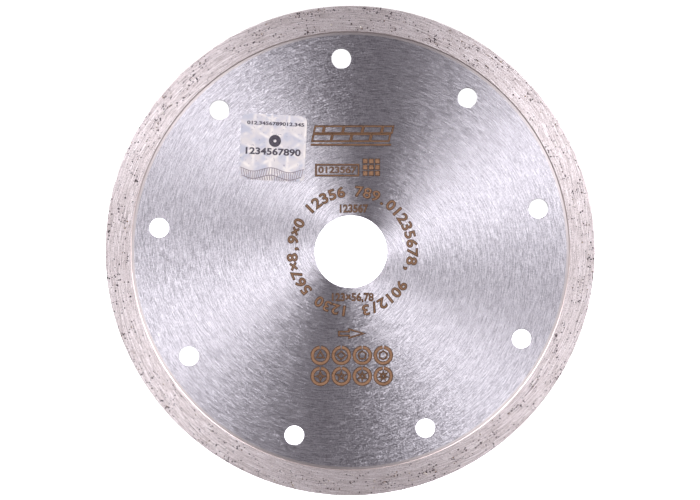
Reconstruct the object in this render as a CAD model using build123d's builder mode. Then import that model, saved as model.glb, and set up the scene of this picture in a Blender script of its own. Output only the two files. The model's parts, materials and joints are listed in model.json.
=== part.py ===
from build123d import *
import math
import os
import random

# A continuous-rim diamond blade for tile, brick and stone, in millimetres.
# The blade stands upright on its bore: it spins about Y, the printed face looks toward -Y
# and +Z is up. The origin is on the spin axis, halfway through the blade's thickness.

os.makedirs("parts", exist_ok=True)

# Steel core
blade_diameter = 150.0
bore_diameter = 22.23
core_thickness = 1.2
edge_break = 0.1
flange_seat_diameter = 42.0
tongue_height = 0.4

# Cooling holes through the core
hole_count = 9
hole_diameter = 6.0
hole_circle_diameter = 118.0
first_hole_angle = 92.85

# Sintered ring: a diamond-free backing next to the steel, then the diamond section
rim_height = 8.0
rim_thickness = 1.6
backing_height = 0.8
shoulder_height = 0.25
rim_corner_radius = 0.15

# Diamond grains: blunt crystals, each seated in its own pocket
grain_radius = 0.24
grain_half_height = 0.17
grain_taper = 30.0
grain_depth = 0.1
grain_tilt = 25.0
grain_spacing = 1.0
grain_margin = 0.7
face_grain_count = 130
edge_grain_count = 84
edge_grain_spread = 0.42

# Label stuck to the printed face
label_width = 20.1
label_corner_radius = 2.0
label_center_x = -23.8
label_center_z = 31.8
label_turn = -2.8
adhesive_thickness = 0.03
adhesive_inset = 0.2
film_thickness = 0.05

core_half = core_thickness / 2
rim_half = rim_thickness / 2
bore_radius = bore_diameter / 2
hole_radius = hole_diameter / 2
seat_radius = flange_seat_diameter / 2
rim_outer_radius = blade_diameter / 2
rim_inner_radius = rim_outer_radius - rim_height
core_radius = rim_inner_radius - backing_height
tongue_radius = core_radius + tongue_height
adhesive_face = core_half + adhesive_thickness


def is_hole_edge(edge):
    """Whether an edge is the rim of a cooling hole."""
    return math.isclose(edge.radius, hole_radius, abs_tol=1e-6)


def is_inner_wall(face):
    """Whether a face is the wall between the core's web and its middle."""
    return face.geom_type == GeomType.CYLINDER and math.isclose(face.radius, seat_radius)


def label_plane(height):
    """The label's own plane, facing out of the printed side at a height above mid-thickness."""
    turn = math.radians(label_turn)
    return Plane(
        origin=(label_center_x, -height, label_center_z),
        x_dir=(math.cos(turn), 0, math.sin(turn)),
        z_dir=(0, -1, 0),
    )


def tilted(position, outward, dice):
    """A grain's plane: its long way out of the surface, leaning and turned at random."""
    lean = (dice.uniform(-grain_tilt, grain_tilt), dice.uniform(-grain_tilt, grain_tilt))
    return Plane(origin=position, z_dir=outward).rotated((*lean, dice.uniform(0, 90)))


def scatter(count, draw, seed):
    """Grain planes from draw(dice), each at least the grain spacing from the others."""
    dice = random.Random(seed)
    planes = []
    while len(planes) < count:
        plane = tilted(*draw(dice), dice)
        if all((plane.origin - other.origin).length > grain_spacing for other in planes):
            planes.append(plane)
    return planes


def draw_on_face(side):
    """A random place on one flat face of the diamond section, thicker toward the cutting edge."""

    def draw(dice):
        angle = dice.uniform(0, 2 * math.pi)
        inner = rim_inner_radius + grain_margin
        outer = rim_outer_radius - grain_margin
        radius = max(dice.uniform(inner, outer), dice.uniform(inner, outer))
        height = side * (rim_half - grain_depth)
        return (radius * math.cos(angle), height, radius * math.sin(angle)), (0, side, 0)

    return draw


def draw_on_edge(dice):
    """A random place on the cutting edge."""
    angle = dice.uniform(0, 2 * math.pi)
    radius = rim_outer_radius - grain_depth
    outward = (math.cos(angle), 0, math.sin(angle))
    offset = dice.uniform(-edge_grain_spread, edge_grain_spread)
    return (radius * outward[0], offset, radius * outward[2]), outward


# The core's web: a thin disc outside the flange seat, whose edge is a V-shaped tongue.
with BuildPart() as core_web:
    with BuildSketch(Plane.XY):
        with BuildLine():
            Polyline(
                (seat_radius, -core_half),
                (core_radius, -core_half),
                (tongue_radius, 0),
                (core_radius, core_half),
                (seat_radius, core_half),
                close=True,
            )
        make_face()
    revolve(axis=Axis.Y)
    with BuildSketch(Plane.XZ):
        with PolarLocations(hole_circle_diameter / 2, hole_count, start_angle=first_hole_angle):
            Circle(hole_radius)
    extrude(amount=core_half, both=True, mode=Mode.SUBTRACT)
    chamfer(core_web.edges().filter_by(GeomType.CIRCLE).filter_by(is_hole_edge), edge_break)

# The core's middle, which the flanges clamp, with the bore's edges broken.
with BuildPart() as core_seat:
    with BuildSketch(Plane.XY):
        with BuildLine():
            Polyline(
                (bore_radius + edge_break, -core_half),
                (seat_radius, -core_half),
                (seat_radius, core_half),
                (bore_radius + edge_break, core_half),
                (bore_radius, core_half - edge_break),
                (bore_radius, edge_break - core_half),
                close=True,
            )
        make_face()
    revolve(axis=Axis.Y)

# Web and middle are one piece of steel. Sewing their outer faces together, without the wall
# between them, leaves each flange seat a face of its own.
with BuildPart() as steel_core:
    skin = core_web.faces() + core_seat.faces()
    add(Solid(Shell(skin.filter_by(is_inner_wall, reverse=True))), clean=False)
steel_core.part.label = "steel_core"
export_step(steel_core.part, "parts/steel_core.step")

# The backing: the same thickness as the core, it grips the tongue and carries no diamonds.
with BuildPart() as backing_ring:
    with BuildSketch(Plane.XY):
        with BuildLine():
            Polyline(
                (core_radius, -core_half),
                (rim_inner_radius, -core_half),
                (rim_inner_radius, core_half),
                (core_radius, core_half),
                (tongue_radius, 0),
                close=True,
            )
        make_face()
    revolve(axis=Axis.Y)
backing_ring.part.label = "backing_ring"
export_step(backing_ring.part, "parts/backing_ring.step")

# One grain: a square crystal, widest at its middle and blunt at both ends.
with BuildPart() as grain:
    with BuildSketch(Plane.XY):
        RegularPolygon(grain_radius, 4)
    extrude(amount=grain_half_height, taper=grain_taper, both=True)

with BuildPart() as diamonds_front:
    with Locations(*scatter(face_grain_count, draw_on_face(-1), seed=11)):
        add(grain.part)
diamonds_front.part.label = "diamonds_front"
export_step(diamonds_front.part, "parts/diamonds_front.step")

with BuildPart() as diamonds_back:
    with Locations(*scatter(face_grain_count, draw_on_face(1), seed=12)):
        add(grain.part)
diamonds_back.part.label = "diamonds_back"
export_step(diamonds_back.part, "parts/diamonds_back.step")

with BuildPart() as diamonds_edge:
    with Locations(*scatter(edge_grain_count, draw_on_edge, seed=13)):
        add(grain.part)
diamonds_edge.part.label = "diamonds_edge"
export_step(diamonds_edge.part, "parts/diamonds_edge.step")

# The diamond section: thicker than the core, with a sloped shoulder down to the backing.
with BuildPart() as diamond_rim:
    with BuildSketch(Plane.XY):
        with BuildLine():
            Polyline(
                (rim_inner_radius, -core_half),
                (rim_inner_radius + shoulder_height, -rim_half),
                (rim_outer_radius, -rim_half),
                (rim_outer_radius, rim_half),
                (rim_inner_radius + shoulder_height, rim_half),
                (rim_inner_radius, core_half),
                close=True,
            )
        make_face()
        fillet(vertices().group_by(Axis.X)[-1], rim_corner_radius)
    revolve(axis=Axis.Y)
    add([diamonds_front.part, diamonds_back.part, diamonds_edge.part], mode=Mode.SUBTRACT)
diamond_rim.part.label = "diamond_rim"
export_step(diamond_rim.part, "parts/diamond_rim.step")

# The label: a clear adhesive film with the printed film on it, a little larger all round.
with BuildPart() as label_adhesive:
    with BuildSketch(label_plane(core_half)):
        adhesive_width = label_width - 2 * adhesive_inset
        RectangleRounded(adhesive_width, adhesive_width, label_corner_radius - adhesive_inset)
    extrude(amount=adhesive_thickness)
label_adhesive.part.label = "label_adhesive"
export_step(label_adhesive.part, "parts/label_adhesive.step")

with BuildPart() as label_film:
    with BuildSketch(label_plane(adhesive_face)):
        RectangleRounded(label_width, label_width, label_corner_radius)
    extrude(amount=film_thickness)
label_film.part.label = "label_film"
export_step(label_film.part, "parts/label_film.step")
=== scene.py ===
import json
import math
import random

import bpy
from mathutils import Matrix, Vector


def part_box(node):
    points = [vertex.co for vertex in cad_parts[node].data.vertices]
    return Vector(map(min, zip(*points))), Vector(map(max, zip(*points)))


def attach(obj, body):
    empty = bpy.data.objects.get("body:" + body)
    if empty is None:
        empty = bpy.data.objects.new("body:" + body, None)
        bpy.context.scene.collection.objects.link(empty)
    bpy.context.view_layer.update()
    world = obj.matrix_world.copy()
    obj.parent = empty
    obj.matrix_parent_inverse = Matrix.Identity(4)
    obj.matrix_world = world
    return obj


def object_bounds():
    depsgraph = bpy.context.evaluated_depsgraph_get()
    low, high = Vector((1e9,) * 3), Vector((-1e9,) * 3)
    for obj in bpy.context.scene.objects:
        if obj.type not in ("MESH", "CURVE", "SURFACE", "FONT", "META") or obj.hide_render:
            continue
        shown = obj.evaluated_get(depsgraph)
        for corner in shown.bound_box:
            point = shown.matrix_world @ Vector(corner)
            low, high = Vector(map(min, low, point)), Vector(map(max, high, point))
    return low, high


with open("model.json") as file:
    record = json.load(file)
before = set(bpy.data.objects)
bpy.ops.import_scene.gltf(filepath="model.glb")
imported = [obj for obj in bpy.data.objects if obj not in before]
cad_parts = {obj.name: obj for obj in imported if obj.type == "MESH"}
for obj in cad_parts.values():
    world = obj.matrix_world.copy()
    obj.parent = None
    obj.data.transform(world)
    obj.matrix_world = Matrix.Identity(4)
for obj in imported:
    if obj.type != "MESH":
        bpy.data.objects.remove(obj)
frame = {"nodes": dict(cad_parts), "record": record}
cad_low, cad_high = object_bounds()

# Lengths are in millimetres until a mesh or a camera is made, which scales them by MM.
MM = 0.001

# Read from the frame: the blade spins about Y, and its printed face looks toward -Y
CORE_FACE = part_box("steel_core")[1].y / MM
BACKING_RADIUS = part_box("backing_ring")[1].x / MM
RIM_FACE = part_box("diamond_rim")[1].y / MM
RIM_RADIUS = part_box("diamond_rim")[1].x / MM
FILM_FACE = -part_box("label_film")[0].y / MM
BORE_RADIUS = frame["record"]["mounts"][0]["dims"]["r_mm"]

# The core's cooling holes
HOLE_COUNT = 9
HOLE_RADIUS = 3.0
HOLE_CIRCLE_RADIUS = 59.0
FIRST_HOLE = math.radians(92.85)

# Grinding strokes lean in from the tangent by asin(offset / radius)
STROKE_OFFSET = 4.8
RIM_STROKE_OFFSET = 3.0

# Grains too small for the CAD: how many to place, and the least and largest size, where 1 is
# the crystal that Grains.RINGS draws
FACE_GRAINS = 1250
EDGE_GRAINS = 260
FACE_GRAIN_SIZES = (0.6, 1.3)
EDGE_GRAIN_SIZES = (0.4, 0.9)
EDGE_GRAIN_REACH = 0.55

# The margins that face grains keep from the backing and from the cutting edge
INNER_MARGIN = 0.6
OUTER_MARGIN = 0.25

# The share of face grains placed near another one, and how far off round and out from it
CLUSTERED = 0.45
CLUSTER_SPREAD_ROUND = 1.6
CLUSTER_SPREAD_OUT = 0.5

# The share of face grains with a tail of bond, and the tails' lengths and widths
TAILED = 0.6
TAIL_LENGTHS = (2.0, 6.0)
TAIL_WIDTHS = (0.14, 0.24)

# Marks are etched in two coats: a dark outline, and a lighter fill lying on it. Each coat
# runs between two heights, and growth is how much wider it is drawn on each side.
OUTLINE_COAT = (CORE_FACE - 0.004, CORE_FACE + 0.01)
FILL_COAT = (CORE_FACE + 0.008, CORE_FACE + 0.015)
OUTLINE_GROWTH = 0.15
FILL_GROWTH = -0.08
MARKS_CENTRE = (-0.5, 0.4)
NUMBER_RING_CENTRE = (0.4, 0.1)

# A digit's height in Blender's own font, at size 1
DIGIT_HEIGHT = 0.7

# The label, its printing ink, and the waves printed along its foot
INK_COAT = (FILM_FACE - 0.004, FILM_FACE + 0.008)
LABEL_CENTRE = (-23.8, 31.8)
LABEL_TURN = math.radians(-2.8)
LABEL_REACH = 9.75
WAVE_LENGTH = 10.9
WAVE_HEIGHT = 0.62
WAVE_SHIFT = 0.3
LATTICE_PITCH = 5.2

# Camera: nearly square on to the printed face, a little above it and to the left. The
# picture's width is what it covers at the rim's face, and the aim is its middle there.
VIEW_AZIMUTH = math.radians(1.8)
VIEW_ELEVATION = math.radians(2.7)
LENS = 120.0
SENSOR = 36.0
PICTURE_WIDTH = 214.1
AIM = (-0.31, 0.55)

# Soft boxes in the studio: degrees round the blade's axis, degrees of half width, strength
SOFT_BOXES = ((25.5, 28, 7.6), (141.5, 28, 7.0))
BOX_COLOUR = (0.95, 0.92, 1.0)
ROOM_COLOUR = (0.97, 0.83, 1.0)
ROOM_STRENGTH = 0.125
BACKGROUND_STRENGTH = 1.1

# The floor, a square that reaches this many metres each way
FLOOR_REACH = 3.0
FLOOR_COLOUR = (0.9, 0.9, 0.9)
FLOOR_GLOW = 0.8

# Colours
STEEL_DARK = (0.42, 0.41, 0.43)
STEEL_MIDDLE = (0.72, 0.71, 0.73)
STEEL_LIGHT = (1.0, 0.99, 1.0)
# Painted shade round the cooling holes' edges, also used for a faint dark line round the bore
STEEL_EDGE_SHADE = (0.2, 0.18, 0.2)
BOND_DARK = (0.46, 0.41, 0.385)
BOND_MIDDLE = (0.74, 0.68, 0.65)
BOND_LIGHT = (1.0, 0.97, 0.945)
BOND_FILLET = (0.62, 0.54, 0.5)
# Painted shade inside the bond's pores
PORE_SHADE = (0.14, 0.1, 0.1)
BACKING_DARK = (0.64, 0.595, 0.57)
BACKING_LIGHT = (0.84, 0.8, 0.77)
BACKING_STAIN = (0.74, 0.69, 0.65)
# Painted shade for the corner below the diamond section's shoulder
BACKING_CORNER_SHADE = (0.54, 0.47, 0.43)
# Painted shade: the bond tails' colours stand in for their shadowed sides and grooves
TAIL_SHADE_DARK = (0.1, 0.075, 0.075)
TAIL_SHADE_LIGHT = (0.24, 0.19, 0.19)
GRAIN_DARK = (0.02, 0.012, 0.014)
GRAIN_BROWN = (0.06, 0.035, 0.03)
GRAIN_AMBER = (0.3, 0.2, 0.1)
GRAIN_PALE = (0.75, 0.72, 0.62)
OXIDE_DARK = ((0.035, 0.016, 0.007), (0.08, 0.042, 0.02))
OXIDE_LIGHT = ((0.15, 0.08, 0.04), (0.27, 0.155, 0.085))
FILM_BLUE = (0.5, 0.515, 0.56)
FILM_GREY = (0.575, 0.565, 0.575)
FILM_CREAM = (0.635, 0.61, 0.58)
FILM_LINE = (0.82, 0.785, 0.71)
FILM_SPECK = (0.3, 0.28, 0.32)
GLUE_DARK = (0.42, 0.4, 0.4)
GLUE_LIGHT = (0.56, 0.54, 0.53)
INK_BLACK = ((0.03, 0.026, 0.034), (0.07, 0.06, 0.075))
INK_GREY = ((0.14, 0.12, 0.13), (0.26, 0.23, 0.24))
INK_PALE = ((0.22, 0.19, 0.19), (0.36, 0.32, 0.32))


# ---------------------------------------------------------------- node helpers


class Tree:
    """Short calls for building a node tree."""

    def __init__(self, tree):
        self.tree = tree
        tree.nodes.clear()

    def add(self, kind, **settings):
        node = self.tree.nodes.new(kind)
        for key, value in settings.items():
            setattr(node, key, value)
        return node

    def feed(self, socket, value):
        """Links a socket to another socket, or sets it to a plain value."""
        if isinstance(value, bpy.types.NodeSocket):
            self.tree.links.new(value, socket)
        elif socket.type == "RGBA":
            socket.default_value = (*value, 1.0)
        else:
            socket.default_value = value

    def math(self, operation, *values):
        node = self.add("ShaderNodeMath", operation=operation)
        for socket, value in zip(node.inputs, values):
            self.feed(socket, value)
        return node.outputs[0]

    def vector(self, x, y, z):
        node = self.add("ShaderNodeCombineXYZ")
        for socket, value in zip(node.inputs, (x, y, z)):
            self.feed(socket, value)
        return node.outputs[0]

    def split(self, vector):
        node = self.add("ShaderNodeSeparateXYZ")
        self.feed(node.inputs[0], vector)
        return node.outputs

    def noise(self, vector, scale=1.0, detail=2.0, w=None):
        """Noise in three dimensions, or in four where w is given."""
        node = self.add("ShaderNodeTexNoise", noise_dimensions="3D" if w is None else "4D")
        self.feed(node.inputs["Vector"], vector)
        node.inputs["Scale"].default_value = scale
        node.inputs["Detail"].default_value = detail
        if w is not None:
            self.feed(node.inputs["W"], w)
        return node.outputs["Fac"]

    def remap(self, value, low, high, to_low=0.0, to_high=1.0):
        """The value carried from one range to another, and held at its ends."""
        node = self.add("ShaderNodeMapRange", clamp=True)
        for socket, number in zip(node.inputs, (value, low, high, to_low, to_high)):
            self.feed(socket, number)
        return node.outputs[0]

    def ramp(self, factor, *stops):
        """A colour ramp through (position, colour) stops."""
        node = self.add("ShaderNodeValToRGB")
        elements = node.color_ramp.elements
        while len(elements) < len(stops):
            elements.new(0.5)
        for element, (position, colour) in zip(elements, stops):
            element.position = position
            element.color = (*colour, 1.0)
        self.feed(node.inputs[0], factor)
        return node.outputs[0]

    def mix(self, factor, a, b):
        """Colour a where the factor is 0, and colour b where it is 1."""
        node = self.add("ShaderNodeMix", data_type="RGBA")
        self.feed(node.inputs[0], factor)
        self.feed(node.inputs[6], a)
        self.feed(node.inputs[7], b)
        return node.outputs[2]

    def bump(self, height, distance):
        """A normal for a relief of this height, in millimetres."""
        node = self.add("ShaderNodeBump")
        node.inputs["Distance"].default_value = distance * MM
        self.feed(node.inputs["Height"], height)
        return node.outputs[0]

    def position(self):
        """The surface point in the blade's frame, as x, y and z in millimetres."""
        scaled = self.add("ShaderNodeVectorMath", operation="SCALE")
        self.feed(scaled.inputs[0], self.add("ShaderNodeTexCoord").outputs["Object"])
        scaled.inputs["Scale"].default_value = 1 / MM
        return self.split(scaled.outputs[0])

    def radius(self, x, z):
        """The distance from the blade's axis."""
        square = self.math("MULTIPLY_ADD", x, x, self.math("MULTIPLY", z, z))
        return self.math("SQRT", square)


def shader_material(name, **inputs):
    """A material with one principled shader, and its tree for feeding the shader's sockets."""
    material = bpy.data.materials.new(name)
    material.use_nodes = True
    tree = Tree(material.node_tree)
    shader = tree.add("ShaderNodeBsdfPrincipled")
    output = tree.add("ShaderNodeOutputMaterial")
    tree.feed(output.inputs["Surface"], shader.outputs[0])
    for key, value in inputs.items():
        tree.feed(shader.inputs[key.replace("_", " ")], value)
    return material, tree, shader


# ---------------------------------------------------------------- ground strokes


def strokes(tree, x, z, offset, width, length, detail=2.0):
    """Noise drawn out along involutes of a circle of radius offset.

    Each involute's own angle, wrapped round a circle, gives the fine variation across the
    strokes, about one width apart. The plain position breaks them into lengths.
    """
    radius = tree.radius(x, z)
    square = tree.math("MULTIPLY", radius, radius)
    reach = tree.math("SQRT", tree.math("MAXIMUM", tree.math("SUBTRACT", square, offset**2), 0.01))
    contact = tree.math("ARCCOSINE", tree.math("DIVIDE", offset, radius))
    turn = tree.math("SUBTRACT", tree.math("ARCTAN2", z, x), contact)
    turn = tree.math("MULTIPLY_ADD", reach, 1 / offset, turn)
    cells = offset / width
    across = tree.vector(
        tree.math("MULTIPLY", tree.math("COSINE", turn), cells),
        tree.math("MULTIPLY", tree.math("SINE", turn), cells),
        tree.math("DIVIDE", x, length),
    )
    return tree.noise(across, detail=detail, w=tree.math("DIVIDE", z, length))


def across_strokes(tree, x, z, offset, lean):
    """The direction across the strokes, turned a little more by lean, in radians."""
    tilt = tree.math("ARCSINE", tree.math("DIVIDE", offset, tree.radius(x, z)))
    angle = tree.math("ADD", tree.math("ADD", tree.math("ARCTAN2", z, x), tilt), lean)
    return tree.vector(tree.math("COSINE", angle), 0.0, tree.math("SINE", angle))


# ---------------------------------------------------------------- materials


def hole_edge_shade(tree, x, z):
    """One in patches round the cooling holes: painted shade, standing in for the shade on the holes'
    chamfered edges.
    """
    pitch = math.tau / HOLE_COUNT
    angle = tree.math("SUBTRACT", tree.math("ARCTAN2", z, x), FIRST_HOLE)
    angle = tree.math("WRAP", angle, pitch / 2, -pitch / 2)
    radius = tree.radius(x, z)
    outward = tree.math("MULTIPLY", radius, tree.math("COSINE", angle))
    right = tree.math("SUBTRACT", outward, HOLE_CIRCLE_RADIUS)
    up = tree.math("MULTIPLY", radius, tree.math("SINE", angle))
    ring = tree.remap(tree.radius(right, up), HOLE_RADIUS + 0.3, HOLE_RADIUS + 0.1, 0.0, 0.4)
    patches = tree.noise(tree.vector(x, 0.0, z), 0.16, 0.0)
    return tree.math("MULTIPLY", ring, tree.remap(patches, 0.42, 0.55))


def bore_edge(tree, x, z):
    """A faint dark line round the bore."""
    return tree.remap(tree.radius(x, z), BORE_RADIUS + 0.3, BORE_RADIUS + 0.1, 0.0, 0.25)


def ground_steel():
    """Ground steel: fine strokes round and round that reflect a fan of light."""
    material, tree, shader = shader_material("ground_steel", Metallic=1.0, Anisotropic=1.0)
    x, y, z = tree.position()
    grit = tree.noise(tree.vector(x, y, z), 2.8, 1.0)
    main = strokes(tree, x, z, STROKE_OFFSET, 0.09, 2.4)
    crossing = strokes(tree, x, z, STROKE_OFFSET * 1.4, 0.09, 2.2)
    shallow = strokes(tree, x, z, STROKE_OFFSET * 0.6, 0.1, 2.6)
    blend = tree.math("ADD", tree.math("MULTIPLY", main, 1.4), tree.math("ADD", crossing, shallow))
    tone = tree.remap(tree.math("MULTIPLY_ADD", grit, 0.7, blend), 1.78, 2.36)
    colour = tree.ramp(tone, (0.0, STEEL_DARK), (0.5, STEEL_MIDDLE), (1.0, STEEL_LIGHT))
    # Painted shade round the holes' edges, and a faint dark line round the bore
    edges = tree.math("MAXIMUM", hole_edge_shade(tree, x, z), bore_edge(tree, x, z))
    tree.feed(shader.inputs["Base Color"], tree.mix(edges, colour, STEEL_EDGE_SHADE))
    tree.feed(shader.inputs["Roughness"], tree.remap(tone, 0.0, 1.0, 0.43, 0.51))
    lean = tree.math("MULTIPLY", tree.math("SUBTRACT", crossing, shallow), 0.8)
    lean = tree.math("MULTIPLY_ADD", tree.math("SUBTRACT", grit, 0.5), 0.9, lean)
    tree.feed(shader.inputs["Tangent"], across_strokes(tree, x, z, STROKE_OFFSET, lean))
    tree.feed(shader.inputs["Normal"], tree.bump(main, 0.01))
    return material


def sintered_bond():
    """The dressed diamond section: beige sintered bond with fine scratches and pores."""
    material, tree, shader = shader_material("sintered_bond", Metallic=0.9, Anisotropic=0.81)
    x, y, z = tree.position()
    mirrored = tree.math("MULTIPLY", x, -1.0)
    scratches = strokes(tree, mirrored, z, RIM_STROKE_OFFSET, 0.09, 3.4)
    long_scratches = strokes(tree, mirrored, z, RIM_STROKE_OFFSET * 1.6, 0.11, 6.5, detail=1.0)
    place = tree.vector(x, y, z)
    mottle = tree.noise(place, 0.7, 3.0)
    powder = tree.noise(place, 5.5, 3.0)
    blend = tree.math("ADD", tree.math("MULTIPLY", scratches, 1.3), long_scratches)
    blend = tree.math("ADD", blend, powder)
    tone = tree.remap(tree.math("MULTIPLY_ADD", mottle, 0.1, blend), 1.42, 2.05)
    colour = tree.ramp(tone, (0.0, BOND_DARK), (0.5, BOND_MIDDLE), (1.0, BOND_LIGHT))
    # Pores are hollows in the bump below, and their dark colour is painted shade inside them
    pores = tree.remap(tree.noise(place, 2.6, 1.0), 0.66, 0.72)
    colour = tree.mix(pores, colour, PORE_SHADE)
    # The sloping shoulder next to the backing isn't dressed, and stays brown and smooth
    shoulder = tree.remap(tree.radius(x, z), BACKING_RADIUS + 0.3, BACKING_RADIUS + 0.2)
    tree.feed(shader.inputs["Base Color"], tree.mix(shoulder, colour, BOND_FILLET))
    dressed = tree.remap(tone, 0.0, 1.0, 0.62, 0.46)
    tree.feed(shader.inputs["Roughness"], tree.math("MULTIPLY_ADD", shoulder, -0.2, dressed))
    lean = tree.math("MULTIPLY", tree.math("SUBTRACT", scratches, long_scratches), 0.5)
    tree.feed(shader.inputs["Tangent"], across_strokes(tree, x, z, -RIM_STROKE_OFFSET, lean))
    relief = tree.math("SUBTRACT", tree.math("ADD", scratches, powder), pores)
    tree.feed(shader.inputs["Normal"], tree.bump(relief, 0.02))
    return material


def bond_tail():
    """The ridge of smeared bond trailing behind a grain, coloured darker than the dressed bond round it as
    painted shade for the ridge's shadowed side and the groove beside it.
    """
    material, tree, shader = shader_material("bond_tail", Metallic=0.2)
    x, y, z = tree.position()
    powder = tree.noise(tree.vector(x, y, z), 5.0, 2.0)
    tree.feed(shader.inputs["Base Color"], tree.ramp(powder, (0.3, TAIL_SHADE_DARK), (0.7, TAIL_SHADE_LIGHT)))
    tree.feed(shader.inputs["Roughness"], tree.remap(powder, 0.3, 0.7, 0.5, 0.7))
    tree.feed(shader.inputs["Normal"], tree.bump(powder, 0.01))
    return material


def backing_bond():
    """The smooth tan band between steel and diamond section."""
    material, tree, shader = shader_material("backing_bond", Metallic=1.0, Anisotropic=0.9)
    x, y, z = tree.position()
    fine = strokes(tree, x, z, STROKE_OFFSET, 0.1, 6.0)
    stain = tree.noise(tree.vector(x, y, z), 0.25, 2.0)
    colour = tree.ramp(fine, (0.3, BACKING_DARK), (0.7, BACKING_LIGHT))
    colour = tree.mix(tree.remap(stain, 0.4, 0.7), colour, BACKING_STAIN)
    # Painted shade: a dark line in the corner below the shoulder, standing in for the step's shadow
    corner_shade = tree.remap(tree.radius(x, z), BACKING_RADIUS - 0.22, BACKING_RADIUS - 0.05)
    tree.feed(shader.inputs["Base Color"], tree.mix(corner_shade, colour, BACKING_CORNER_SHADE))
    tree.feed(shader.inputs["Roughness"], tree.remap(fine, 0.3, 0.7, 0.55, 0.45))
    tree.feed(shader.inputs["Tangent"], across_strokes(tree, x, z, STROKE_OFFSET, 0.0))
    tree.feed(shader.inputs["Normal"], tree.bump(fine, 0.01))
    return material


def diamond_grain():
    """Rough industrial diamond: mostly dark, here and there amber or pale."""
    material, tree, shader = shader_material("diamond_grain", Roughness=0.3, Specular_IOR_Level=0.5)
    x, y, z = tree.position()
    place = tree.vector(x, y, z)
    kind = tree.noise(place, 0.9, 0.0)
    speckle = tree.noise(place, 9.0, 2.0)
    colour = tree.ramp(kind, (0.4, GRAIN_DARK), (0.65, GRAIN_BROWN), (0.7, GRAIN_AMBER), (0.76, GRAIN_PALE))
    tree.feed(shader.inputs["Base Color"], tree.mix(tree.remap(speckle, 0.45, 0.75), colour, GRAIN_DARK))
    tree.feed(shader.inputs["Normal"], tree.bump(speckle, 0.02))
    return material


def etched_mark(name, colours):
    """Oxide left by etching: brown, with the ground strokes still showing through."""
    material, tree, shader = shader_material(name, Metallic=0.1, Specular_IOR_Level=0.25)
    x, _, z = tree.position()
    fine = strokes(tree, x, z, STROKE_OFFSET, 0.16, 4.0)
    tree.feed(shader.inputs["Base Color"], tree.ramp(fine, (0.3, colours[0]), (0.7, colours[1])))
    tree.feed(shader.inputs["Roughness"], tree.remap(fine, 0.3, 0.7, 0.7, 0.5))
    tree.feed(shader.inputs["Normal"], tree.bump(fine, 0.006))
    return material


def label_film():
    """Silvery security film: soft cream lines in a triangular lattice, over cool and warm patches."""
    material, tree, shader = shader_material("label_film", Metallic=0.3, Coat_Weight=0.3)
    x, y, z = tree.position()
    place = tree.vector(x, y, z)
    patches = tree.noise(place, 0.28, 2.0)
    colour = tree.ramp(patches, (0.4, FILM_BLUE), (0.5, FILM_GREY), (0.6, FILM_CREAM))
    lines = 0.0
    for direction in range(3):
        turn = LABEL_TURN + direction * math.pi / 3
        along = tree.math("MULTIPLY_ADD", x, math.cos(turn), tree.math("MULTIPLY", z, math.sin(turn)))
        line = tree.remap(tree.math("PINGPONG", along, LATTICE_PITCH / 2), 0.75, 0.1)
        lines = tree.math("MAXIMUM", lines, line)
    worn = tree.remap(tree.noise(place, 0.35, 2.0), 0.4, 0.62, 0.1, 0.8)
    colour = tree.mix(tree.math("MULTIPLY", lines, worn), colour, FILM_LINE)
    specks = tree.remap(tree.noise(place, 1.3, 1.0), 0.27, 0.34, 0.8, 0.0)
    tree.feed(shader.inputs["Base Color"], tree.mix(specks, colour, FILM_SPECK))
    tree.feed(shader.inputs["Roughness"], tree.remap(patches, 0.3, 0.7, 0.38, 0.5))
    tree.feed(shader.inputs["Normal"], tree.bump(tree.noise(place, 1.2, 2.0), 0.02))
    return material


def label_adhesive():
    """The clear glue that shows as a thin line round the film."""
    material, tree, shader = shader_material("label_adhesive", Roughness=0.6)
    x, y, z = tree.position()
    cloud = tree.noise(tree.vector(x, y, z), 1.5, 2.0)
    tree.feed(shader.inputs["Base Color"], tree.ramp(cloud, (0.3, GLUE_DARK), (0.7, GLUE_LIGHT)))
    tree.feed(shader.inputs["Normal"], tree.bump(cloud, 0.02))
    return material


def label_ink(name, colours):
    """Printing ink, a little uneven."""
    material, tree, shader = shader_material(name, Roughness=0.5)
    x, y, z = tree.position()
    cloud = tree.noise(tree.vector(x, y, z), 2.5, 3.0)
    tree.feed(shader.inputs["Base Color"], tree.ramp(cloud, (0.35, colours[0]), (0.65, colours[1])))
    tree.feed(shader.inputs["Normal"], tree.bump(cloud, 0.004))
    return material


# ---------------------------------------------------------------- pieces


def add_piece(name, vertices, faces, material):
    """A mesh from points in millimetres, riding on the blade."""
    mesh = bpy.data.meshes.new(name)
    mesh.from_pydata([Vector(v) * MM for v in vertices], [], faces)
    mesh.materials.append(material)
    piece = bpy.data.objects.new(name, mesh)
    bpy.context.scene.collection.objects.link(piece)
    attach(piece, "root")
    return piece


def inside_box(point):
    """Whether a point in millimetres is inside the CAD model's box."""
    return all(low <= value * MM <= high for low, value, high in zip(cad_low, point, cad_high))


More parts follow.
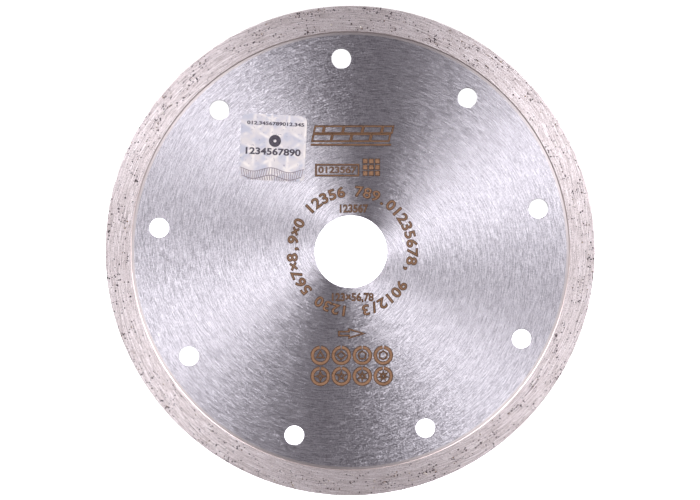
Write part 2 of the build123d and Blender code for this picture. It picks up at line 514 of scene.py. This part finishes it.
class Grains:
    """Collects small crystals and the bond tails behind them."""

    # Each ring of a crystal: height along its axis, and how far out its corners are, at size 1
    RINGS = ((-0.17, 0.1), (0.0, 0.25), (0.07, 0.17))
    CORNERS = 6

    def __init__(self, seed):
        self.dice = random.Random(seed)
        self.vertices = []
        self.faces = []

    def crystal(self, place, outward, size):
        """An irregular blunt crystal, its axis near the outward direction.

        One that would stand past the CAD model's box is left out.
        """
        count = self.CORNERS
        lean = Vector([self.dice.uniform(-0.15, 0.15) for _ in range(3)])
        turn = (Vector(outward) + lean).to_track_quat("Z", "X")
        spin = self.dice.uniform(0, math.tau)
        points = []
        for height, reach in self.RINGS:
            for corner in range(count):
                angle = spin + corner * math.tau / count
                spread = reach * self.dice.uniform(0.75, 1.2)
                local = Vector((spread * math.cos(angle), spread * math.sin(angle), height))
                points.append(Vector(place) + turn @ (local * size))
        if not all(inside_box(point) for point in points):
            return
        start = len(self.vertices)
        self.vertices += points
        for ring in range(len(self.RINGS) - 1):
            low, high = start + ring * count, start + (ring + 1) * count
            for corner in range(count):
                after = (corner + 1) % count
                self.faces.append((low + corner, low + after, high + after, high + corner))
        self.faces.append(tuple(start + corner for corner in reversed(range(count))))
        self.faces.append(tuple(high + corner for corner in range(count)))

    def tail(self, place, outward, along, length, width):
        """A low ridge of bond that tapers away behind a crystal."""
        place, outward, along = Vector(place), Vector(outward), Vector(along)
        side = outward.cross(along) * (width / 2)
        start = len(self.vertices)
        foot = place - outward * 0.05
        middle = foot + along * (length * 0.5)
        self.vertices += [
            foot + side,
            foot - side,
            place + outward * 0.05,
            middle + side * 0.7,
            middle - side * 0.7,
            middle + outward * 0.085,
            foot + along * length,
        ]
        sides = ((0, 1, 2), (1, 0, 3, 4), (0, 2, 5, 3), (2, 1, 4, 5), (4, 3, 6), (3, 5, 6), (5, 4, 6))
        self.faces += [tuple(start + corner for corner in face) for face in sides]


def scatter_face(side, seed):
    """Small crystals over one flat face of the diamond section, in loose clusters."""
    crystals, tails = Grains(seed), Grains(seed + 100)
    dice = crystals.dice
    inner, outer = BACKING_RADIUS + INNER_MARGIN, RIM_RADIUS - OUTER_MARGIN
    spots = []
    while len(spots) < FACE_GRAINS:
        if spots and dice.random() < CLUSTERED:
            angle, radius = dice.choice(spots)
            angle += dice.gauss(0, CLUSTER_SPREAD_ROUND) / radius
            radius += dice.gauss(0, CLUSTER_SPREAD_OUT)
        else:
            angle = dice.uniform(0, math.tau)
            radius = inner + (outer - inner) * dice.random() ** 0.75
        if inner < radius < outer:
            spots.append((angle, radius))
    smallest, largest = FACE_GRAIN_SIZES
    for angle, radius in spots:
        size = smallest + (largest - smallest) * dice.random() ** 1.5
        place = (radius * math.cos(angle), side * (RIM_FACE - 0.02 * size), radius * math.sin(angle))
        crystals.crystal(place, (0, side, 0), size)
        if dice.random() < TAILED:
            along = (math.sin(angle), 0, -math.cos(angle))
            length = dice.uniform(*TAIL_LENGTHS)
            tails.tail(place, (0, side, 0), along, length, dice.uniform(*TAIL_WIDTHS))
    return crystals, tails


def scatter_edge(seed):
    """Small crystals round the cutting edge."""
    crystals = Grains(seed)
    dice = crystals.dice
    for _ in range(EDGE_GRAINS):
        angle = dice.uniform(0, math.tau)
        size = dice.uniform(*EDGE_GRAIN_SIZES)
        outward = (math.cos(angle), 0, math.sin(angle))
        radius = RIM_RADIUS - 0.08 * size
        across = dice.uniform(-EDGE_GRAIN_REACH, EDGE_GRAIN_REACH)
        crystals.crystal((radius * outward[0], across, radius * outward[2]), outward, size)
    return crystals


# ---------------------------------------------------------------- flat marks


class Plates:
    """Collects thin closed plates that lie on a flat face, drawn as (right, up) points."""

    def __init__(self, low, high, turn, centre):
        self.low, self.high = low, high
        self.centre = centre
        self.cosine, self.sine = math.cos(turn), math.sin(turn)
        self.vertices = []
        self.faces = []

    def put(self, point, height):
        """Adds a vertex over a point of the face, and returns its number."""
        right, up = point
        x = self.centre[0] + right * self.cosine - up * self.sine
        z = self.centre[1] + right * self.sine + up * self.cosine
        self.vertices.append((x, -height, z))
        return len(self.vertices) - 1

    def polygon(self, points):
        """A plate with this outline, given anticlockwise."""
        low = [self.put(p, self.low) for p in points]
        high = [self.put(p, self.high) for p in points]
        count = len(points)
        self.faces.append(tuple(high))
        self.faces.append(tuple(reversed(low)))
        for i in range(count):
            j = (i + 1) % count
            self.faces.append((low[i], low[j], high[j], high[i]))

    def band(self, inner, outer, closed):
        """A plate between two lines of matching points, inner on the left of outer."""
        levels = (self.low, self.high)
        rows = [[self.put(p, h) for p in line] for line in (inner, outer) for h in levels]
        inner_low, inner_high, outer_low, outer_high = rows
        count = len(inner)
        for i in range(count if closed else count - 1):
            j = (i + 1) % count
            self.faces.append((inner_high[i], outer_high[i], outer_high[j], inner_high[j]))
            self.faces.append((inner_low[j], outer_low[j], outer_low[i], inner_low[i]))
            self.faces.append((outer_high[i], outer_low[i], outer_low[j], outer_high[j]))
            self.faces.append((inner_low[i], inner_high[i], inner_high[j], inner_low[j]))
        if not closed:
            self.faces.append((inner_low[0], outer_low[0], outer_high[0], inner_high[0]))
            self.faces.append((inner_high[-1], outer_high[-1], outer_low[-1], inner_low[-1]))

    def line(self, points, width, closed=False):
        """A stroke of even width along a line of points, with mitred corners."""
        left, right = [], []
        count = len(points)
        for i, point in enumerate(points):
            before = points[i - 1] if closed or i > 0 else None
            after = points[(i + 1) % count] if closed or i < count - 1 else None
            sides = [
                Vector((b[1] - a[1], a[0] - b[0])).normalized()
                for a, b in ((before, point), (point, after))
                if a and b
            ]
            normal = (sides[0] + sides[-1]).normalized()
            shift = normal * (width / 2 / max(normal.dot(sides[0]), 0.35))
            left.append((point[0] - shift.x, point[1] - shift.y))
            right.append((point[0] + shift.x, point[1] + shift.y))
        self.band(left, right, closed)

    def ring(self, centre, radius, width, start=0.0, end=math.tau, points=64):
        """A circular stroke, whole or part of a turn."""
        whole = math.isclose(end - start, math.tau)
        steps = points if whole else points - 1
        angles = [start + (end - start) * i / steps for i in range(points)]
        line = [(centre[0] + radius * math.cos(a), centre[1] + radius * math.sin(a)) for a in angles]
        self.line(line, width, whole)

    def text(self, body, height, place, turn=0.0, bold=0.0, stretch=1.0):
        """Digits and signs in Blender's own font, centred on a place. Height is a digit's.

        Bold grows each sign's outline, and stretch widens the text.
        """
        curve = bpy.data.curves.new("text", "FONT")
        curve.body = body
        curve.align_x = "CENTER"
        curve.align_y = "CENTER"
        curve.size = height / DIGIT_HEIGHT
        curve.resolution_u = 4
        curve.offset = bold
        curve.extrude = (self.high - self.low) / 2
        carrier = bpy.data.objects.new("text", curve)
        mesh = bpy.data.meshes.new_from_object(carrier)
        start = len(self.vertices)
        middle = (self.low + self.high) / 2
        for vertex in mesh.vertices:
            right, up, lift = vertex.co
            right *= stretch
            point = (
                place[0] + right * math.cos(turn) - up * math.sin(turn),
                place[1] + right * math.sin(turn) + up * math.cos(turn),
            )
            self.put(point, middle + lift)
        self.faces += [tuple(start + v for v in face.vertices) for face in mesh.polygons]
        bpy.data.meshes.remove(mesh)
        bpy.data.objects.remove(carrier)
        bpy.data.curves.remove(curve)

    def piece(self, name, material, slot):
        """The plates as one mesh, welded where the text's caps meet its sides."""
        piece = add_piece(name, self.vertices, self.faces, material)
        weld = piece.modifiers.new("weld", "WELD")
        weld.merge_threshold = 0.0005 * MM


# ---------------------------------------------------------------- stage, light and camera


def make_world():
    """A white background for the camera, and a studio of soft boxes for everything else."""
    world = bpy.data.worlds.new("studio")
    bpy.context.scene.world = world
    world.use_nodes = True
    tree = Tree(world.node_tree)
    x, y, z = tree.split(tree.add("ShaderNodeTexCoord").outputs["Generated"])
    azimuth = tree.math("ARCTAN2", z, x)
    total = 0.0
    for angle, width, strength in SOFT_BOXES:
        offset = tree.math("SUBTRACT", azimuth, math.radians(angle))
        ratio = tree.math("DIVIDE", tree.math("WRAP", offset, math.pi, -math.pi), math.radians(width))
        glow = tree.math("EXPONENT", tree.math("MULTIPLY", tree.math("MULTIPLY", ratio, ratio), -1.0))
        total = tree.math("MULTIPLY_ADD", glow, strength, total)
    facing = tree.math("ABSOLUTE", y)
    away_from_axis = tree.remap(facing, 0.97, 0.75)
    # It is dimmer along the blade's own plane, which is where the cutting edge takes its light
    away_from_plane = tree.remap(facing, 0.02, 0.3, 0.04, 1.0)
    reach = tree.math("MULTIPLY", away_from_axis, away_from_plane)
    boxes = tree.add("ShaderNodeBackground")
    tree.feed(boxes.inputs["Color"], BOX_COLOUR)
    tree.feed(boxes.inputs["Strength"], tree.math("MULTIPLY", total, reach))
    room = tree.add("ShaderNodeBackground")
    tree.feed(room.inputs["Color"], ROOM_COLOUR)
    tree.feed(room.inputs["Strength"], ROOM_STRENGTH)
    both = tree.add("ShaderNodeAddShader")
    tree.feed(both.inputs[0], boxes.outputs[0])
    tree.feed(both.inputs[1], room.outputs[0])
    white = tree.add("ShaderNodeBackground")
    tree.feed(white.inputs["Color"], (1.0, 1.0, 1.0))
    tree.feed(white.inputs["Strength"], BACKGROUND_STRENGTH)
    seen = tree.add("ShaderNodeMixShader")
    tree.feed(seen.inputs[0], tree.add("ShaderNodeLightPath").outputs["Is Camera Ray"])
    tree.feed(seen.inputs[1], both.outputs[0])
    tree.feed(seen.inputs[2], white.outputs[0])
    output = tree.add("ShaderNodeOutputWorld")
    tree.feed(output.inputs["Surface"], seen.outputs[0])


def make_floor():
    """A pale floor level with the blade's foot, bright enough to fade into the background."""
    size = FLOOR_REACH
    mesh = bpy.data.meshes.new("floor")
    corners = ((-size, -size), (size, -size), (size, size), (-size, size))
    mesh.from_pydata([(x, y, cad_low.z) for x, y in corners], [], [(0, 1, 2, 3)])
    floor = bpy.data.objects.new("floor", mesh)
    bpy.context.scene.collection.objects.link(floor)
    material = bpy.data.materials.new("pale_floor")
    material.use_nodes = True
    tree = Tree(material.node_tree)
    diffuse = tree.add("ShaderNodeBsdfDiffuse")
    tree.feed(diffuse.inputs["Color"], FLOOR_COLOUR)
    glow = tree.add("ShaderNodeEmission")
    tree.feed(glow.inputs["Strength"], FLOOR_GLOW)
    both = tree.add("ShaderNodeAddShader")
    tree.feed(both.inputs[0], diffuse.outputs[0])
    tree.feed(both.inputs[1], glow.outputs[0])
    output = tree.add("ShaderNodeOutputMaterial")
    tree.feed(output.inputs["Surface"], both.outputs[0])
    mesh.materials.append(material)
    floor.visible_glossy = False
    floor.visible_diffuse = False


def make_camera():
    """Looks at the printed face from far enough away for a flat view."""
    data = bpy.data.cameras.new("camera")
    data.lens = LENS
    data.sensor_width = SENSOR
    data.clip_start = 0.01
    data.clip_end = 20.0
    camera = bpy.data.objects.new("camera", data)
    distance = PICTURE_WIDTH * LENS / SENSOR
    level = math.cos(VIEW_ELEVATION)
    toward_camera = Vector((
        -level * math.sin(VIEW_AZIMUTH),
        -level * math.cos(VIEW_AZIMUTH),
        math.sin(VIEW_ELEVATION),
    ))
    target = Vector((AIM[0], -RIM_FACE, AIM[1]))
    camera.location = (target + toward_camera * distance) * MM
    camera.rotation_euler = (math.radians(90) - VIEW_ELEVATION, 0, -VIEW_AZIMUTH)
    bpy.context.scene.collection.objects.link(camera)
    bpy.context.scene.camera = camera


# ---------------------------------------------------------------- etched marks


def etched(name, draw, oxides, centre=MARKS_CENTRE):
    """A mark drawn twice: a dark wide coat, and a lighter narrow one on it."""
    outline, fill = (Plates(*coat, 0.0, centre) for coat in (OUTLINE_COAT, FILL_COAT))
    draw(outline, OUTLINE_GROWTH)
    draw(fill, FILL_GROWTH)
    outline.piece(name + "_outline", oxides[0], "core_steel")
    fill.piece(name + "_fill", oxides[1], "core_steel")


def draw_number_ring(plates, grow):
    """Groups of digits and signs round the bore, tops outward, clockwise from the foot."""
    radius, height, bold, stretch = 18.25, 3.1, 0.05, 1.15
    body = "1230 567×8,9×0 12356 789.01235678, 9012/3"
    first, last = math.radians(262), math.radians(-77)
    for index, sign in enumerate(body):
        angle = first + (last - first) * index / (len(body) - 1)
        place = (radius * math.cos(angle), radius * math.sin(angle))
        if sign != " ":
            plates.text(sign, height, place, angle - math.pi / 2, grow + bold, stretch)


def draw_bore_numbers(plates, grow):
    """A short number above the bore and a longer one below it."""
    height = 2.35
    plates.text("123567", height, (1.1, 12.7), bold=grow, stretch=0.9)
    plates.text("123×56,78", height, (0.8, -14.45), bold=grow, stretch=0.92)


def draw_bricks(plates, grow):
    """Two courses of slanting bricks, half a brick apart, over a line."""
    left, right, low, line_level = -11.4, 12.8, 33.4, 32.3
    pitch, height, slant, gap = 5.95, 2.1, 0.22, 0.35
    joint_width, line_width, overhang = 0.34, 0.4, 0.4
    for course in range(2):
        foot = low + course * (height + gap)
        shift = slant * (foot - low)
        joints = [left + pitch * (i + course / 2) for i in range(5 - course)]
        if course:
            joints = [left, *joints, right]
        for start, end in zip(joints, joints[1:]):
            brick = [
                (start + shift, foot),
                (end - gap + shift, foot),
                (end - gap + shift + slant * height, foot + height),
                (start + shift + slant * height, foot + height),
            ]
            plates.line(brick, joint_width + 2 * grow, closed=True)
    plates.line([(left - overhang, line_level), (right, line_level)], line_width + 2 * grow)


def draw_boxed_number(plates, grow):
    """A number in a frame."""
    left, right, low, high, width = -10.2, 2.8, 22.9, 26.2, 0.34
    corners = [(left, low), (right, low), (right, high), (left, high)]
    plates.line(corners, width + 2 * grow, closed=True)
    plates.text("0123567", 1.85, (-3.7, 24.55), bold=grow * 0.7, stretch=1.25)


def draw_tiles(plates, grow):
    """A square of nine tiles."""
    centre, pitch, tile = (6.7, 25.45), 1.86, 1.34
    half = tile / 2 + grow
    for row in (-1, 0, 1):
        for column in (-1, 0, 1):
            middle, level = centre[0] + column * pitch, centre[1] + row * pitch
            left, right = middle - half, middle + half
            low, high = level - half, level + half
            plates.polygon([(left, low), (right, low), (right, high), (left, high)])


def draw_arrow(plates, grow):
    """The turning direction: an outlined arrow pointing right."""
    half_shaft, half_head, level, width = 0.6, 1.3, -25.5, 0.32
    tail, neck, tip = -3.2, -0.1, 4.4
    outline = [
        (tail, level + half_shaft),
        (tail, level - half_shaft),
        (neck, level - half_shaft),
        (neck, level - half_head),
        (tip, level),
        (neck, level + half_head),
        (neck, level + half_shaft),
    ]
    plates.line(outline, width + 2 * grow, closed=True)


def draw_rings(plates, grow):
    """Eight rings: the upper four hold polygons of 3 to 6 sides, the lower four stars of 4 to 7 points.

    Each ring is open for a few degrees at its top.
    """
    first, pitch, radius, width = -8.9, 6.43, 2.45, 0.9
    start, end = math.radians(94), math.radians(446)
    outer_reach, inner_reach, shape_width = 1.3, 0.5, 0.26
    for row, up in enumerate((-32.2, -38.6)):
        for column in range(4):
            right = first + pitch * column
            plates.ring((right, up), radius, width + 2 * grow, start, end)
            points = 3 + column + row
            count = points * (1 + row)
            corners = []
            for i in range(count):
                angle = math.pi / 2 + i * math.tau / count
                reach = inner_reach if row and i % 2 else outer_reach
                corners.append((right + reach * math.cos(angle), up + reach * math.sin(angle)))
            plates.line(corners, shape_width + 2 * grow, closed=True)


# ---------------------------------------------------------------- label print


def wave(right, level):
    """The height of a printed wave at a place across the label."""
    return level + WAVE_HEIGHT * math.cos(math.tau * (right + WAVE_SHIFT) / WAVE_LENGTH)


def print_waves(wave_ink, hatch_ink):
    """Two waves across the label's foot, with fine fanned hatching below each."""
    lines, hatch = (Plates(*INK_COAT, LABEL_TURN, LABEL_CENTRE) for _ in range(2))
    upper, lower, foot = -6.75, -9.0, -9.95
    upper_width, lower_width, hatch_width, foot_width = 0.24, 0.3, 0.3, 0.36
    upper_gap, lower_gap, corner_gap = 0.15, 0.18, 1.2
    most_lean, foot_lean, count = 0.5, 0.2, 27
    inset = LABEL_REACH - 0.6
    steps = [LABEL_REACH * (i / 24 - 1) for i in range(49)]
    lines.line([(right, wave(right, upper)) for right in steps], upper_width)
    lines.line([(right, wave(right, lower)) for right in steps if abs(right) < inset], lower_width)
    for i in range(count):
        right = (LABEL_REACH - 0.3) * (2 * i / (count - 1) - 1)
        lean = most_lean * math.sin(math.tau * right / WAVE_LENGTH)
        low_end = max(-inset, min(inset, right + lean))
        top = (right, wave(right, upper) - upper_gap)
        hatch.line([top, (low_end, wave(low_end, lower) + lower_gap)], hatch_width)
        if abs(right) < inset - corner_gap:
            top = (right, wave(right, lower) - lower_gap)
            hatch.line([top, (right + foot_lean, foot)], foot_width)
    lines.piece("label_waves", wave_ink, "label_film")
    hatch.piece("label_hatching", hatch_ink, "label_film")


def print_numbers(ink):
    """A fine number along the label's head and a larger one below its emblem."""
    numbers = Plates(*INK_COAT, LABEL_TURN, LABEL_CENTRE)
    numbers.text("012.3456789012.345", 1.0, (0.5, 7.3), bold=0.05, stretch=1.45)
    numbers.text("1234567890", 1.95, (-0.2, -1.3), bold=0.09, stretch=1.25)
    numbers.piece("label_numbers", ink, "label_film")


def print_emblem(ink):
    """A dark disc with a hole, between the two numbers."""
    emblem = Plates(*INK_COAT, LABEL_TURN, LABEL_CENTRE)
    emblem.ring((0.5, 2.1), 1.15, 1.4)
    emblem.piece("label_emblem", ink, "label_film")


# ---------------------------------------------------------------- the blade


def dress(node, material):
    """Gives a CAD node its material."""
    mesh = frame["nodes"][node].data
    mesh.materials.clear()
    mesh.materials.append(material)


make_world()
make_floor()
make_camera()
bpy.context.scene.view_settings.view_transform = "Standard"

bond = sintered_bond()
tail = bond_tail()
grain = diamond_grain()
dress("steel_core", ground_steel())
dress("diamond_rim", bond)
dress("backing_ring", backing_bond())
dress("diamonds_front", grain)
dress("diamonds_back", grain)
dress("diamonds_edge", grain)
dress("label_film", label_film())
dress("label_adhesive", label_adhesive())

for face, side, seed in (("front", -1, 21), ("back", 1, 22)):
    crystals, tails = scatter_face(side, seed)
    add_piece(f"small_diamonds_{face}", crystals.vertices, crystals.faces, grain)
    add_piece(f"bond_tails_{face}", tails.vertices, tails.faces, tail)
crystals = scatter_edge(23)
add_piece("small_diamonds_edge", crystals.vertices, crystals.faces, grain)

oxides = (etched_mark("etched_outline", OXIDE_DARK), etched_mark("etched_fill", OXIDE_LIGHT))
etched("number_ring", draw_number_ring, oxides, NUMBER_RING_CENTRE)
etched("bore_numbers", draw_bore_numbers, oxides)
etched("brick_mark", draw_bricks, oxides)
etched("boxed_number", draw_boxed_number, oxides)
etched("tile_square", draw_tiles, oxides)
etched("turning_arrow", draw_arrow, oxides)
etched("shape_rings", draw_rings, oxides)

black_ink = label_ink("ink_black", INK_BLACK)
print_waves(label_ink("ink_grey", INK_GREY), label_ink("ink_pale", INK_PALE))
print_numbers(black_ink)
print_emblem(black_ink)
